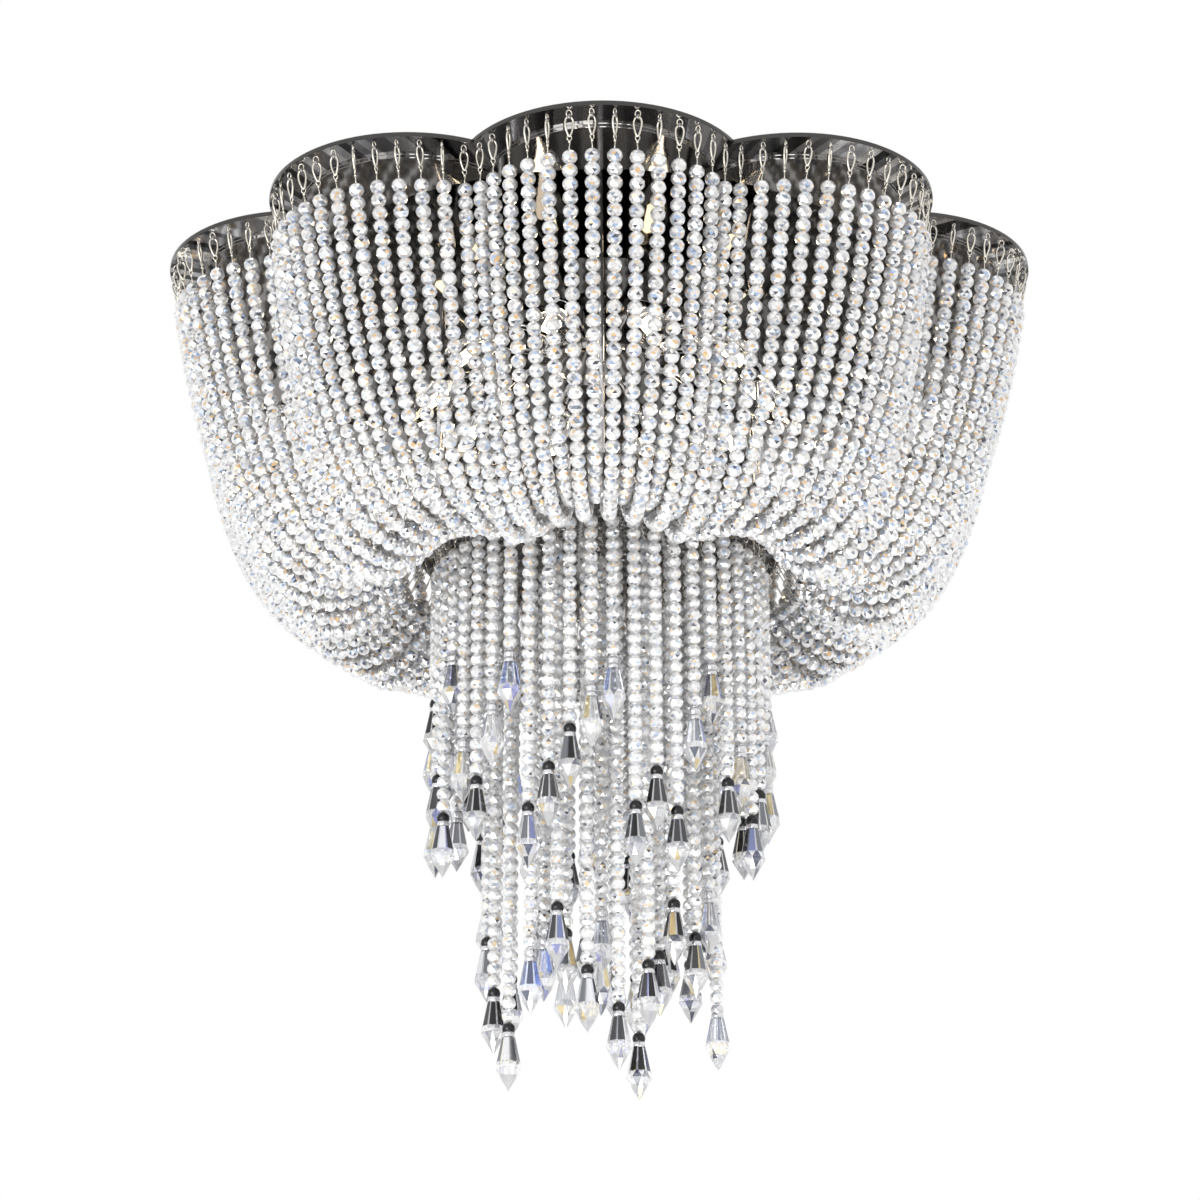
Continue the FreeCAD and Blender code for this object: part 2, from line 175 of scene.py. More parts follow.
class Batch:
    """Copies of forms, gathered into one mesh. Each face has a material, a finish and a random value."""

    def __init__(self):
        self.points, self.corners, self.counts = [], [], []
        self.materials, self.smooth, self.values = [], [], []
        self.size = 0
        self.slots = []

    def add(self, form, places, turns, material, smooth=False):
        places = np.atleast_2d(places)
        number = len(places)
        moved = np.einsum("nij,vj->nvi", turns, form.points) + places[:, None, :]
        start = self.size + len(form.points) * np.arange(number)
        if material not in self.slots:
            self.slots.append(material)
        faces = number * len(form.counts)
        self.points.append(moved.reshape(-1, 3))
        self.corners.append((form.corners[None, :] + start[:, None]).ravel())
        self.counts.append(np.tile(form.counts, number))
        self.materials.append(np.full(faces, self.slots.index(material)))
        self.smooth.append(np.full(faces, smooth))
        self.values.append(random.random(faces))
        self.size += number * len(form.points)

    def put(self, form, material, smooth=False):
        """The form where its own points are."""
        self.add(form, np.zeros((1, 3)), np.eye(3)[None], material, smooth)

    def build(self, name, sharp=None):
        points = np.concatenate(self.points)
        corners = np.concatenate(self.corners)
        counts = np.concatenate(self.counts)
        mesh = bpy.data.meshes.new(name)
        mesh.vertices.add(len(points))
        mesh.vertices.foreach_set("co", points.astype(np.float32).ravel())
        mesh.loops.add(len(corners))
        mesh.loops.foreach_set("vertex_index", corners.astype(np.int32))
        mesh.polygons.add(len(counts))
        starts = np.concatenate([[0], np.cumsum(counts)[:-1]])
        mesh.polygons.foreach_set("loop_start", starts.astype(np.int32))
        mesh.polygons.foreach_set("material_index", np.concatenate(self.materials).astype(np.int32))
        mesh.update(calc_edges=True)
        mesh.polygons.foreach_set("use_smooth", np.concatenate(self.smooth))
        for material in self.slots:
            mesh.materials.append(material)
        facet = mesh.attributes.new("facet", "FLOAT", "FACE")
        facet.data.foreach_set("value", np.concatenate(self.values).astype(np.float32))
        if sharp is not None:
            mesh.set_sharp_from_angle(angle=math.radians(sharp))
        piece = bpy.data.objects.new(name, mesh)
        bpy.context.scene.collection.objects.link(piece)
        return piece


def turned_to(axes, spins):
    """Rotations that take local Z to each axis, after a spin about it."""
    z = np.atleast_2d(axes)
    z = z / np.linalg.norm(z, axis=1, keepdims=True)
    helper = np.where(np.abs(z[:, 2:]) < SLANTED, [[0.0, 0.0, 1.0]], [[1.0, 0.0, 0.0]])
    x = np.cross(helper, z)
    x /= np.linalg.norm(x, axis=1, keepdims=True)
    y = np.cross(z, x)
    c, s = np.cos(spins)[:, None], np.sin(spins)[:, None]
    return np.stack([x * c + y * s, y * c - x * s, z], axis=2)


def random_spins(number):
    return random.uniform(0, 2 * math.pi, number)


def ring(radius, z, sides, turn=0.0):
    a = 2 * math.pi * (np.arange(sides) + turn) / sides
    return np.stack([radius * np.cos(a), radius * np.sin(a), np.full(sides, z)], axis=1)


def stack(rings, capped=True):
    """Form through rings of equally many points; a ring of one point is a tip."""
    points, starts, faces = [], [], []
    for r in rings:
        starts.append(sum(len(p) for p in points))
        points.append(np.atleast_2d(r))
    for i in range(len(rings) - 1):
        faces += band(starts[i], len(points[i]), starts[i + 1], len(points[i + 1]))
    if capped and len(points[0]) > 1:
        faces.append([starts[0] + j for j in range(len(points[0]))][::-1])
    if capped and len(points[-1]) > 1:
        faces.append([starts[-1] + j for j in range(len(points[-1]))])
    return Form(np.concatenate(points), faces)


def band(a, sides_a, b, sides_b):
    """Faces between two rings, or between a ring and a tip."""
    faces = []
    for j in range(max(sides_a, sides_b)):
        k = (j + 1) % max(sides_a, sides_b)
        if sides_a == 1:
            faces.append([a, b + k, b + j])
        elif sides_b == 1:
            faces.append([a + j, a + k, b])
        else:
            faces.append([a + j, a + k, b + k, b + j])
    return faces


def lathe(section, sides):
    """Round form from (radius, height) pairs in millimetres, listed with the solid on the left."""
    rings = []
    for r, z in section:
        rings.append(np.array([[0.0, 0.0, z * MM]]) if r == 0 else ring(r * MM, z * MM, sides))
    return stack(rings, capped=False)


def ball(radius, sides):
    rows = sides // 2
    section = [(radius / MM * math.sin(math.pi * i / rows), -radius / MM * math.cos(math.pi * i / rows))
               for i in range(rows + 1)]
    section[0] = (0, section[0][1])
    section[-1] = (0, section[-1][1])
    return lathe(section, sides)


def tube(path, radius, sides, closed=False):
    """Round wire along points."""
    path = np.array(path, float)
    if closed:
        ahead, behind = np.roll(path, -1, axis=0), np.roll(path, 1, axis=0)
    else:
        ahead, behind = np.vstack([path[1:], path[-1:]]), np.vstack([path[:1], path[:-1]])
    axes = ahead - behind
    axes /= np.linalg.norm(axes, axis=1, keepdims=True)
    normal = np.cross(axes[0], (0.0, 1.0, 0.0) if abs(axes[0][1]) < SLANTED else (1.0, 0.0, 0.0))
    rings = []
    for point, axis in zip(path, axes):
        normal = normal - axis * np.dot(normal, axis)
        normal /= np.linalg.norm(normal)
        side = np.cross(axis, normal)
        a = 2 * math.pi * np.arange(sides) / sides
        rings.append(point + radius * (np.outer(np.cos(a), normal) + np.outer(np.sin(a), side)))
    form = stack(rings, capped=not closed)
    if closed:
        faces = np.split(form.corners, np.cumsum(form.counts)[:-1])
        faces += band((len(path) - 1) * sides, sides, 0, sides)
        form = Form(form.points, faces)
    return form


def eye(width, height, z, pinch, wire, steps):
    """Closed oval of wire, upright in the XZ plane and narrower below by the pinch; in millimetres."""
    a = 2 * math.pi * np.arange(steps) / steps
    across = width / 2 * np.cos(a) * (1 + pinch * np.sin(a))
    path = np.stack([across, np.zeros(steps), z + height / 2 * np.sin(a)], axis=1)
    return tube(path * MM, wire * MM, WIRE_SIDES, closed=True)


def stem(places):
    """Thin wire through (sideways, height) places in millimetres."""
    return tube([(x * MM, 0.0, z * MM) for x, z in places], WIRE_R, WIRE_SIDES)


# ---------------------------------------------------------------- small forms
def bead_form(radius):
    """Round bead: rows of triangles between rings of points, each ring turned by half a side."""
    n = BEAD_SIDES
    rings, faces = [], []
    for row, latitude in enumerate(BEAD_LATITUDES):
        a = math.radians(latitude)
        rings.append(ring(radius * math.cos(a), radius * BEAD_FLATNESS * math.sin(a), n, row / 2))
        if row:
            faces += zigzag((row - 1) * n, row * n, n)
    faces.append(list(range(n))[::-1])
    faces.append(list(range(row * n, (row + 1) * n)))
    return Form(np.concatenate(rings), faces)


def zigzag(a, b, sides):
    """Triangles between a ring and one turned by half a side more."""
    faces = []
    for j in range(sides):
        k = (j + 1) % sides
        faces.append([a + j, a + k, b + j])
        faces.append([a + k, b + k, b + j])
    return faces


def bevelled_ring(radius, z):
    """Ring with two points near each corner, for wide facets with narrow bevels between them."""
    corners = np.arange(DROP_SIDES)
    turns = np.stack([corners - DROP_BEVEL, corners + DROP_BEVEL], axis=1).ravel()
    a = 2 * math.pi * turns / DROP_SIDES
    return np.stack([radius * np.cos(a), radius * np.sin(a), np.full(len(a), z)], axis=1)


def drop_forms():
    """Cut drop below its neck at z = 0: the long facets, the bevels between them, and the pointed end."""
    n = DROP_SIDES
    points = np.concatenate([bevelled_ring(r * MM, z * MM) for r, z in DROP_SECTION])
    long_facets, bevels = [], []
    for row in range(len(DROP_SECTION) - 1):
        for face in band((row + 1) * 2 * n, 2 * n, row * 2 * n, 2 * n):
            narrow = (face[0] - (row + 1) * 2 * n) % 2 == 0
            (bevels if narrow else long_facets).append(face)
    girdle = ring(DROP_GIRDLE[0] * MM, DROP_GIRDLE[1] * MM, n, 0.5)
    tip = np.array([[0.0, 0.0, -DROP_LENGTH]])
    end_ring = ring(DROP_END_RING[0] * MM, DROP_END_RING[1] * MM, n)
    low = [girdle, bevelled_ring(DROP_SECTION[-1][0] * MM, DROP_SECTION[-1][1] * MM), end_ring, tip]
    return Form(points, long_facets), Form(points, bevels), Form(np.concatenate(low), pointed_end(n))


def pointed_end(n):
    """Faces from the last bevelled ring (n to 3n) past the girdle (0 to n) and the end ring to the tip."""
    faces = zigzag(3 * n, 0, n) + band(4 * n, 1, 3 * n, n)
    for j in range(n):
        k = (j + 1) % n
        left, right = n + 2 * j + 1, n + 2 * k
        faces.append([j, right, left])
        faces.append([j, k, right + 1, right])
    return faces


BEAD = bead_form(BEAD_R)
SMALL_BEAD = bead_form(BEAD_R * PENDANT_BEAD)
DROP_FACETS, DROP_BEVELS, DROP_END = drop_forms()
BALL = ball(BALL_R, BALL_SIDES)
NECK_RING = lathe(NECK_SECTION, NECK_SIDES)
CLIP_KNOB = ball(KNOB_R, KNOB_SIDES)
CLIP_COLLAR = lathe(COLLAR_SECTION, COLLAR_SIDES)
CLIP_WIRES = [*(eye(*sizes) for sizes in RIM_CLIP_EYES), stem(RIM_CLIP_STEM)]
PENDANT_WIRES = [*(eye(*sizes) for sizes in PENDANT_CLIP_EYES), stem(PENDANT_CLIP_STEM)]
END_EYE = eye(*STRAND_END_EYE)


# ---------------------------------------------------------------- materials
def material(name, **sockets):
    """New material with sockets of its shader set; their names have _ for a space."""
    made = bpy.data.materials.new(name)
    made.use_nodes = True
    shader = made.node_tree.nodes["Principled BSDF"]
    for key, value in sockets.items():
        shader.inputs[key.replace("_", " ")].default_value = value
    return made, made.node_tree, shader


def ramp(tree, stops, constant=False):
    node = tree.nodes.new("ShaderNodeValToRGB")
    node.color_ramp.interpolation = "CONSTANT" if constant else "LINEAR"
    while len(node.color_ramp.elements) < len(stops):
        node.color_ramp.elements.new(1.0)
    for element, (place, colour) in zip(node.color_ramp.elements, stops):
        element.position = place
        element.color = (*colour, 1.0)
    return node


def by_facet(tree, stops):
    """Colour picked by each facet's random value."""
    value = tree.nodes.new("ShaderNodeAttribute")
    value.attribute_name = "facet"
    colours = ramp(tree, stops, constant=True)
    tree.links.new(value.outputs["Fac"], colours.inputs["Fac"])
    return colours.outputs["Color"]


def smudges(tree, shader, roughness, scale, bump=0.0):
    """Faint uneven polish: roughness between two values by noise, and a little bump if asked."""
    place = tree.nodes.new("ShaderNodeTexCoord")
    noise = tree.nodes.new("ShaderNodeTexNoise")
    noise.inputs["Scale"].default_value = scale
    noise.inputs["Detail"].default_value = NOISE_DETAIL
    spread = tree.nodes.new("ShaderNodeMapRange")
    spread.inputs["To Min"].default_value = roughness[0]
    spread.inputs["To Max"].default_value = roughness[1]
    tree.links.new(place.outputs["Object"], noise.inputs["Vector"])
    tree.links.new(noise.outputs["Fac"], spread.inputs["Value"])
    tree.links.new(spread.outputs["Result"], shader.inputs["Roughness"])
    if bump:
        height = tree.nodes.new("ShaderNodeBump")
        height.inputs["Strength"].default_value = bump
        height.inputs["Distance"].default_value = BUMP_DEPTH
        tree.links.new(noise.outputs["Fac"], height.inputs["Height"])
        tree.links.new(height.outputs["Normal"], shader.inputs["Normal"])


def shades(tree, shader, colour, darkest, scale):
    """Base colour that drifts between a darker shade and the colour itself, by noise."""
    noise = tree.nodes.new("ShaderNodeTexNoise")
    noise.inputs["Scale"].default_value = scale
    drift = ramp(tree, ((SHADE_START, [darkest * c for c in colour]), (SHADE_END, colour)))
    tree.links.new(noise.outputs["Fac"], drift.inputs["Fac"])
    tree.links.new(drift.outputs["Color"], shader.inputs["Base Color"])


# where each tint starts among the facets' random values, and the tint
BEAD_TINTS = (
    (0.00, (0.84, 0.83, 0.81)), (0.32, (0.64, 0.64, 0.64)), (0.54, (0.30, 0.34, 0.41)),
    (0.67, (0.96, 0.96, 0.96)), (0.81, (0.86, 0.58, 0.30)), (0.88, (0.11, 0.11, 0.13)),
    (0.93, (0.44, 0.57, 0.82)),
)
PENDANT_TINTS = (
    (0.00, (0.97, 0.96, 0.94)), (0.32, (0.84, 0.84, 0.84)), (0.56, (0.50, 0.54, 0.60)),
    (0.66, (1.00, 1.00, 1.00)), (0.84, (0.90, 0.70, 0.44)), (0.90, (0.15, 0.15, 0.17)),
    (0.94, (0.60, 0.70, 0.90)),
)
DROP_TINTS = (
    (0.00, (0.02, 0.02, 0.022)), (0.30, (0.07, 0.07, 0.075)), (0.58, (0.20, 0.21, 0.23)),
    (0.76, (0.84, 0.85, 0.88)), (0.88, (0.22, 0.25, 0.45)), (0.93, (0.04, 0.04, 0.04)),
    (0.98, (0.85, 0.66, 0.34)),
)
CLEAR_DROP_TINTS = (
    (0.00, (0.96, 0.96, 0.96)), (0.28, (0.66, 0.67, 0.70)), (0.48, (0.32, 0.35, 0.42)),
    (0.62, (0.30, 0.40, 0.85)), (0.70, (0.98, 0.76, 0.30)), (0.77, (0.08, 0.08, 0.10)),
    (0.88, (0.86, 0.86, 0.96)),
)
TIP_TINTS = (
    (0.00, (0.97, 0.97, 0.97)), (0.60, (0.84, 0.84, 0.90)), (0.74, (0.56, 0.58, 0.64)),
    (0.84, (0.44, 0.46, 0.84)), (0.88, (0.98, 0.80, 0.40)), (0.92, (0.14, 0.15, 0.20)),
)
# painted reflections for the flange: dark to near-white streaks that stand in for the lamps and strands
# mirrored in it
PAINTED_REFLECTION_BANDS = (
    (0.00, (0.04, 0.04, 0.04)), (0.16, (0.20, 0.20, 0.21)), (0.42, (0.42, 0.42, 0.43)),
    (0.70, (0.72, 0.72, 0.74)), (0.90, (0.98, 0.97, 0.95)),
)

RIM_HIGHLIGHT_START, RIM_HIGHLIGHT_END = 0.12, 0.50      # painted rim highlight: how slanted a glass facet must be to start being painted whiter, and to be painted white
CRYSTAL_IOR = 1.56
SHADE_START, SHADE_END = 0.3, 0.7      # noise values between which a colour goes from dark to light
NOISE_DETAIL = 4.0
BUMP_DEPTH = 0.2 * MM


def crystal(name, tints, clear, silver, sheen, painted_rim=True):
    """Cut glass: each facet takes its own tint, and part of the light comes back off the rear facets; where
    asked, a white rim highlight is painted into the base colour.
    """
    made, tree, shader = material(name, Roughness=0.03, IOR=CRYSTAL_IOR, Transmission_Weight=clear,
                                  Metallic=silver, Sheen_Weight=sheen, Sheen_Roughness=0.2)
    colour = by_facet(tree, tints)
    tree.links.new(painted_rim_highlight(tree, colour) if painted_rim else colour, shader.inputs["Base Color"])
    return made


def painted_rim_highlight(tree, colour):
    """Painted highlight: facets seen at a slant get a base colour mixed towards white, in place of the light
    that glass sends back at a slant, so a bead has a painted bright outline.
    """
    slant = tree.nodes.new("ShaderNodeLayerWeight")
    slant.inputs["Blend"].default_value = 0.5
    share = tree.nodes.new("ShaderNodeMapRange")
    share.inputs["From Min"].default_value = RIM_HIGHLIGHT_START
    share.inputs["From Max"].default_value = RIM_HIGHLIGHT_END
    mixed = tree.nodes.new("ShaderNodeMixRGB")
    mixed.inputs["Color2"].default_value = WHITE
    tree.links.new(slant.outputs["Facing"], share.inputs["Value"])
    tree.links.new(share.outputs["Result"], mixed.inputs["Fac"])
    tree.links.new(colour, mixed.inputs["Color1"])
    return mixed.outputs["Color"]


def metal(name, colour, roughness, scale, bump=0.0):
    made, tree, shader = material(name, Metallic=1.0)
    shades(tree, shader, colour, darkest=0.9, scale=scale / 3)
    smudges(tree, shader, roughness, scale, bump)
    return made


def painted_reflection_metal(name, painted_streaks):
    """Mirror metal with painted reflections: light and dark streaks, one per facet at random, stand in for
    the studio lamps and the ring of hanging strands mirrored in it.
    """
    made, tree, shader = material(name, Metallic=1.0)
    tree.links.new(by_facet(tree, painted_streaks), shader.inputs["Base Color"])
    smudges(tree, shader, roughness=(0.05, 0.12), scale=30.0)
    return made


def plastic(name, colour):
    made, tree, shader = material(name)
    shades(tree, shader, colour, darkest=0.93, scale=90.0)
    smudges(tree, shader, roughness=(0.4, 0.55), scale=200.0, bump=0.15)
    return made


def glow(name, colour, strength):
    made, _, shader = material(name, Emission_Strength=strength)
    shader.inputs["Base Color"].default_value = (*colour, 1.0)
    shader.inputs["Emission Color"].default_value = (*colour, 1.0)
    return made


def clear_glass(name):
    made, tree, shader = material(name, IOR=1.45, Transmission_Weight=1.0)
    smudges(tree, shader, roughness=(0.01, 0.06), scale=60.0)
    return made


# the bowl beads, the pendant beads and the drops' tips get a painted white rim highlight; the drops' long
# facets don't
CRYSTAL = crystal("cut_crystal_beads", BEAD_TINTS, clear=0.35, silver=0.5, sheen=1.0)
CRYSTAL_PENDANT = crystal("cut_crystal_pendant_beads", PENDANT_TINTS, clear=0.35, silver=0.4, sheen=1.0)
CRYSTAL_DROP = crystal("cut_crystal_drop", DROP_TINTS, clear=0.3, silver=0.5, sheen=0.6, painted_rim=False)
CRYSTAL_CLEAR_DROP = crystal("cut_crystal_clear_drop", CLEAR_DROP_TINTS, clear=0.9, silver=0.1, sheen=0.5,
                             painted_rim=False)
CRYSTAL_TIP = crystal("cut_crystal_tip", TIP_TINTS, clear=0.7, silver=0.2, sheen=0.6)
BLACK_NICKEL = metal("black_nickel", (0.26, 0.25, 0.24), roughness=(0.02, 0.07), scale=14.0)
# the flange's metal has painted reflections in its colour
FLANGE_PAINTED_REFLECTIONS = painted_reflection_metal("flange_painted_reflections", PAINTED_REFLECTION_BANDS)
PAN_MIRROR = metal("pan_mirror", (0.090, 0.087, 0.083), roughness=(0.02, 0.06), scale=10.0)
BLACK_CHROME = metal("black_chrome", (0.05, 0.05, 0.052), roughness=(0.02, 0.06), scale=60.0)
CHROME = metal("chrome", (0.78, 0.78, 0.80), roughness=(0.03, 0.10), scale=40.0)
SILVER_WIRE = metal("silver_wire", (0.80, 0.76, 0.68), roughness=(0.10, 0.22), scale=120.0)
ZINC = metal("zinc_plated_steel", (0.50, 0.51, 0.52), roughness=(0.28, 0.45), scale=60.0, bump=0.1)
WHITE_PLASTIC = plastic("white_plastic", (0.80, 0.80, 0.77))
BULB_GLASS = clear_glass("bulb_glass")
FILAMENT_GLOW = glow("filament_glow", (1.0, 0.80, 0.52), strength=18.0)


# ---------------------------------------------------------------- canopy
def lobed_ring(inset, z):
    """Points round the lobed outline, moved in by inset; each lobe starts at its cusp."""
    half, radius = lobe_arc(inset)
    points = []
    for lobe in range(LOBES):
        for step in range(LOBE_STEPS):
            points.append(on_lobe(lobe, -half + 2 * half * step / LOBE_STEPS, radius, z))
    return np.array(points)


def on_lobe(lobe, turn, radius, z):
    """Point on an arc round a lobe's centre, at a turn from the lobe's own direction."""
    out, side = LOBE_CENTRE + radius * math.cos(turn), radius * math.sin(turn)
    azimuth = lobe * 360.0 / LOBES + math.degrees(math.atan2(side, out))
    return at(math.hypot(out, side), azimuth, z)


def lobe_arc(inset):
    """Half the arc of one lobe, and the arc's radius, for an outline moved in by inset."""
    radius = RIM_RADIUS - LOBE_CENTRE - inset
    half = math.pi / LOBES
    reach = LOBE_CENTRE * math.cos(half)
    corner = reach + math.sqrt(reach ** 2 - LOBE_CENTRE ** 2 + radius ** 2)
    return math.atan2(corner * math.sin(half), corner * math.cos(half) - LOBE_CENTRE), radius


def lobed_rings(section):
    return [lobed_ring(inset * MM, z * MM) for inset, z in section]


def well_rings(lift):
    """Round the cone, with one point at the azimuth of each point of the outline."""
    outline = lobed_ring(0.0, 0.0)
    directions = outline / np.linalg.norm(outline, axis=1, keepdims=True)
    return [directions * (r * MM) + np.array([0.0, 0.0, z * MM + lift]) for r, z in WELL_SECTION]


def canopy_pan():
    """The pressed sheet: lip, flange and step round the lobes, then the shelf, the cone and the middle."""
    lip, flange, step = lobed_rings(LIP_SECTION), lobed_rings(FLANGE_SECTION), lobed_rings(STEP_SECTION)
    middle = np.array([[0.0, 0.0, WELL_SECTION[-1][1] * MM]])
    upper_middle = middle + np.array([[0.0, 0.0, SHEET]])
    upper_side = stack([upper_middle, *well_rings(SHEET)[::-1], lip[0]], capped=False)
    batch = Batch()
    batch.put(stack(lip, capped=False), PAN_MIRROR, smooth=True)
    # the flange: metal with painted reflections in streaks
    batch.put(stack(flange, capped=False), FLANGE_PAINTED_REFLECTIONS)
    batch.put(stack([*step, well_rings(0.0)[0]], capped=False), BLACK_NICKEL, smooth=True)
    batch.put(stack([*well_rings(0.0), middle], capped=False), PAN_MIRROR, smooth=True)
    batch.put(upper_side, BLACK_NICKEL, smooth=True)
    return batch.build("canopy_mirror", sharp=PAN_SHARP)


# ---------------------------------------------------------------- strands of the bowl
class HangingCurve:
    """Catenary of a given length from a hook at distance 0 to a lower hook at distance span."""

    LEAST, MOST, HALVINGS = 1e-3, 12.0, 60      # limits and steps of the search for the curve's shape

    def __init__(self, span, rise, length):
        stretch = math.sqrt(length ** 2 - rise ** 2) / span
        low, high = self.LEAST, self.MOST
        for _ in range(self.HALVINGS):
            middle = (low + high) / 2
            if math.sinh(middle) / middle < stretch:
                low = middle
            else:
                high = middle
        self.a = span / (2 * low)
        self.lowest = span / 2 - self.a * math.asinh(rise / (2 * self.a * math.sinh(low)))

    def points(self, s):
        """Distance from the hook, height above it and slope, at lengths s along the strand."""
        before = self.a * math.sinh(self.lowest / self.a)
        x = self.lowest + self.a * np.arcsinh((s - before) / self.a)
        height = self.a * (np.cosh((x - self.lowest) / self.a) - math.cosh(self.lowest / self.a))
        return x, height, np.arctan2(s - before, self.a)


class Strand:
    """Bowl strand number index, counted round from the first lobe."""

    def __init__(self, index):
        lobe, place = divmod(index, STRANDS_PER_LOBE)
        half, radius = lobe_arc(HOOK_INSET)
        self.rim = on_lobe(lobe, -half + 2 * half * (place + 0.5) / STRANDS_PER_LOBE, radius, HOOK_Z)
        inner_radius, inner_z, self.length = LAYERS[index % 2]
        inner_azimuth = 360.0 * (index + 0.5) / (LOBES * STRANDS_PER_LOBE) - 180.0 / LOBES
        inner = at(inner_radius, inner_azimuth, inner_z)
        level = np.array([*(inner - self.rim)[:2], 0.0])
        span = np.linalg.norm(level)
        self.level = level / span
        self.curve = HangingCurve(span, inner_z - HOOK_Z, self.length)

    def at_lengths(self, s):
        """Places and directions along the strand."""
        x, height, slope = self.curve.points(np.asarray(s, float))
        up = np.array([0.0, 0.0, 1.0])
        places = self.rim + np.outer(x, self.level) + np.outer(height, up)
        return places, np.outer(np.cos(slope), self.level) + np.outer(np.sin(slope), up)


def bead_places(strand):
    """Places and directions of a strand's beads, and how many there are."""
    number = int((strand.length - CLIP_LENGTH - TAIL_LENGTH) / BEAD_PITCH)
    return strand.at_lengths(CLIP_LENGTH + BEAD_PITCH * (np.arange(number) + 0.5)), number


def bowl_strands(lobe):
    """The lobe's strands of beads, with the bare wire at their inner ends."""
    batch = Batch()
    for place in range(STRANDS_PER_LOBE):
        strand = Strand(lobe * STRANDS_PER_LOBE + place)
        (places, axes), number = bead_places(strand)
        batch.add(BEAD, places, turned_to(axes, random_spins(number)), CRYSTAL)
        start = CLIP_LENGTH + BEAD_PITCH * number
        tail, directions = strand.at_lengths(np.linspace(start - TAIL_OVERLAP, strand.length, TAIL_POINTS))
        batch.put(tube(tail, WIRE_R, WIRE_SIDES), SILVER_WIRE, smooth=True)
        turn = turned_to(directions[-1:], random_spins(1))
        batch.add(END_EYE, tail[-1:], turn, SILVER_WIRE, smooth=True)
    return batch.build("crystal_strands_%02d" % (lobe + 1))


def rim_clips():
    """The wire clip at the rim end of every strand, in line with its strand."""
    batch = Batch()
    strands = [Strand(i) for i in range(LOBES * STRANDS_PER_LOBE)]
    ends = [strand.at_lengths([0.0, CLIP_LENGTH])[0] for strand in strands]
    tops = np.array([end[0] for end in ends])
    axes = tops - np.array([end[1] for end in ends])
    turns = turned_to(axes, random_spins(len(strands)))
    batch.add(CLIP_KNOB, tops - KNOB_DROP * axes / CLIP_LENGTH, turns, BLACK_NICKEL, smooth=True)
    for wire in CLIP_WIRES:
        batch.add(wire, tops, turns, SILVER_WIRE, smooth=True)
    batch.add(CLIP_COLLAR, tops, turns, SILVER_WIRE, smooth=True)
    return batch.build("rim_clips")


# ---------------------------------------------------------------- pendants
def tips_in_frame(node, radius, azimuths):
    """Height of each pendant's tip, read from the frame's solids."""
    points = np.array([v.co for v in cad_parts[node].data.vertices])
    tips = []
    for azimuth in azimuths:
        near = np.hypot(*(points[:, :2] - at(radius, azimuth)[:2]).T) < NEAR
        tips.append(points[near, 2].min())
    return tips


def pendant(batch, radius, azimuth, tip):
    """One pendant from the dish down: clip, beads, ball, neck ring and cut drop."""
    is_clear = random.random() < (CLEAR_HIGH if tip > CLEAR_ABOVE else CLEAR_LOW)
    top = DISH_Z - PENDANT_GAP
    first = top - PENDANT_HOOK
    neck = tip + DROP_LENGTH
    ball_top = neck + 2 * BALL_R
    number = round((first - ball_top) / (BEAD_PITCH * PENDANT_BEAD))
    pitch = (first - ball_top) / number
    heights = first - pitch * (np.arange(number) + 0.5)
    places = np.array([at(radius, azimuth, z) for z in heights])
    axes = np.tile([0.0, 0.0, 1.0], (number, 1))
    batch.add(SMALL_BEAD, places, turned_to(axes, random_spins(number)), CRYSTAL_PENDANT)
    turn = turned_to(axes[:1], random_spins(1))
    for wire in PENDANT_WIRES:
        batch.add(wire, at(radius, azimuth, top), turn, SILVER_WIRE, smooth=True)
    ball_finish, drop_finish = (CHROME, CRYSTAL_CLEAR_DROP) if is_clear else (BLACK_CHROME, CRYSTAL_DROP)
    at_neck = at(radius, azimuth, neck)
    batch.add(BALL, at(radius, azimuth, neck + BALL_R), turn, ball_finish, smooth=True)
    batch.add(NECK_RING, at_neck, turn, CHROME, smooth=True)
    batch.add(DROP_FACETS, at_neck, turn, drop_finish)
    batch.add(DROP_BEVELS, at_neck, turn, CRYSTAL_TIP)
    batch.add(DROP_END, at_neck, turn, CRYSTAL_TIP)


def pendant_group(name, per_group, groups, radius, first, group):
    node = "%s_pendants_%02d" % (name, group + 1)
    step = 360.0 / (per_group * groups)
    azimuths = [(group * per_group + i + first) * step for i in range(per_group)]
    batch = Batch()
    for azimuth, tip in zip(azimuths, tips_in_frame(node, radius, azimuths)):
        pendant(batch, radius, azimuth, tip)
    piece = batch.build("crystal_" + node)
    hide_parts(node)
    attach(piece, node)


# ---------------------------------------------------------------- dish, rods, lamps
def lower_dish():
    batch = Batch()
    batch.put(lathe(DISH_SECTION, DISH_SIDES), BLACK_NICKEL, smooth=True)
    return batch.build("dish_mirror", sharp=LATHE_SHARP)


def lamp_hub():
    batch = Batch()
    batch.put(lathe(HUB_SECTION, HUB_SIDES), BLACK_NICKEL, smooth=True)
    return batch.build("hub_cup", sharp=LATHE_SHARP)


def around(step=0.0):
    """Azimuths of ten places round the axis, turned by a share of the step between them."""
    return [(k + step) * 360.0 / LOBES for k in range(LOBES)]


def suspension_rods():
    batch = Batch()
    for azimuth in around():
        ends = [at(ROD_RADIUS, azimuth, ROD_TOP), at(ROD_RADIUS, azimuth, DISH_Z)]
        batch.put(tube(ends, ROD_R, ROD_SIDES), CHROME, smooth=True)
    return batch.build("polished_rods", sharp=TUBE_SHARP)


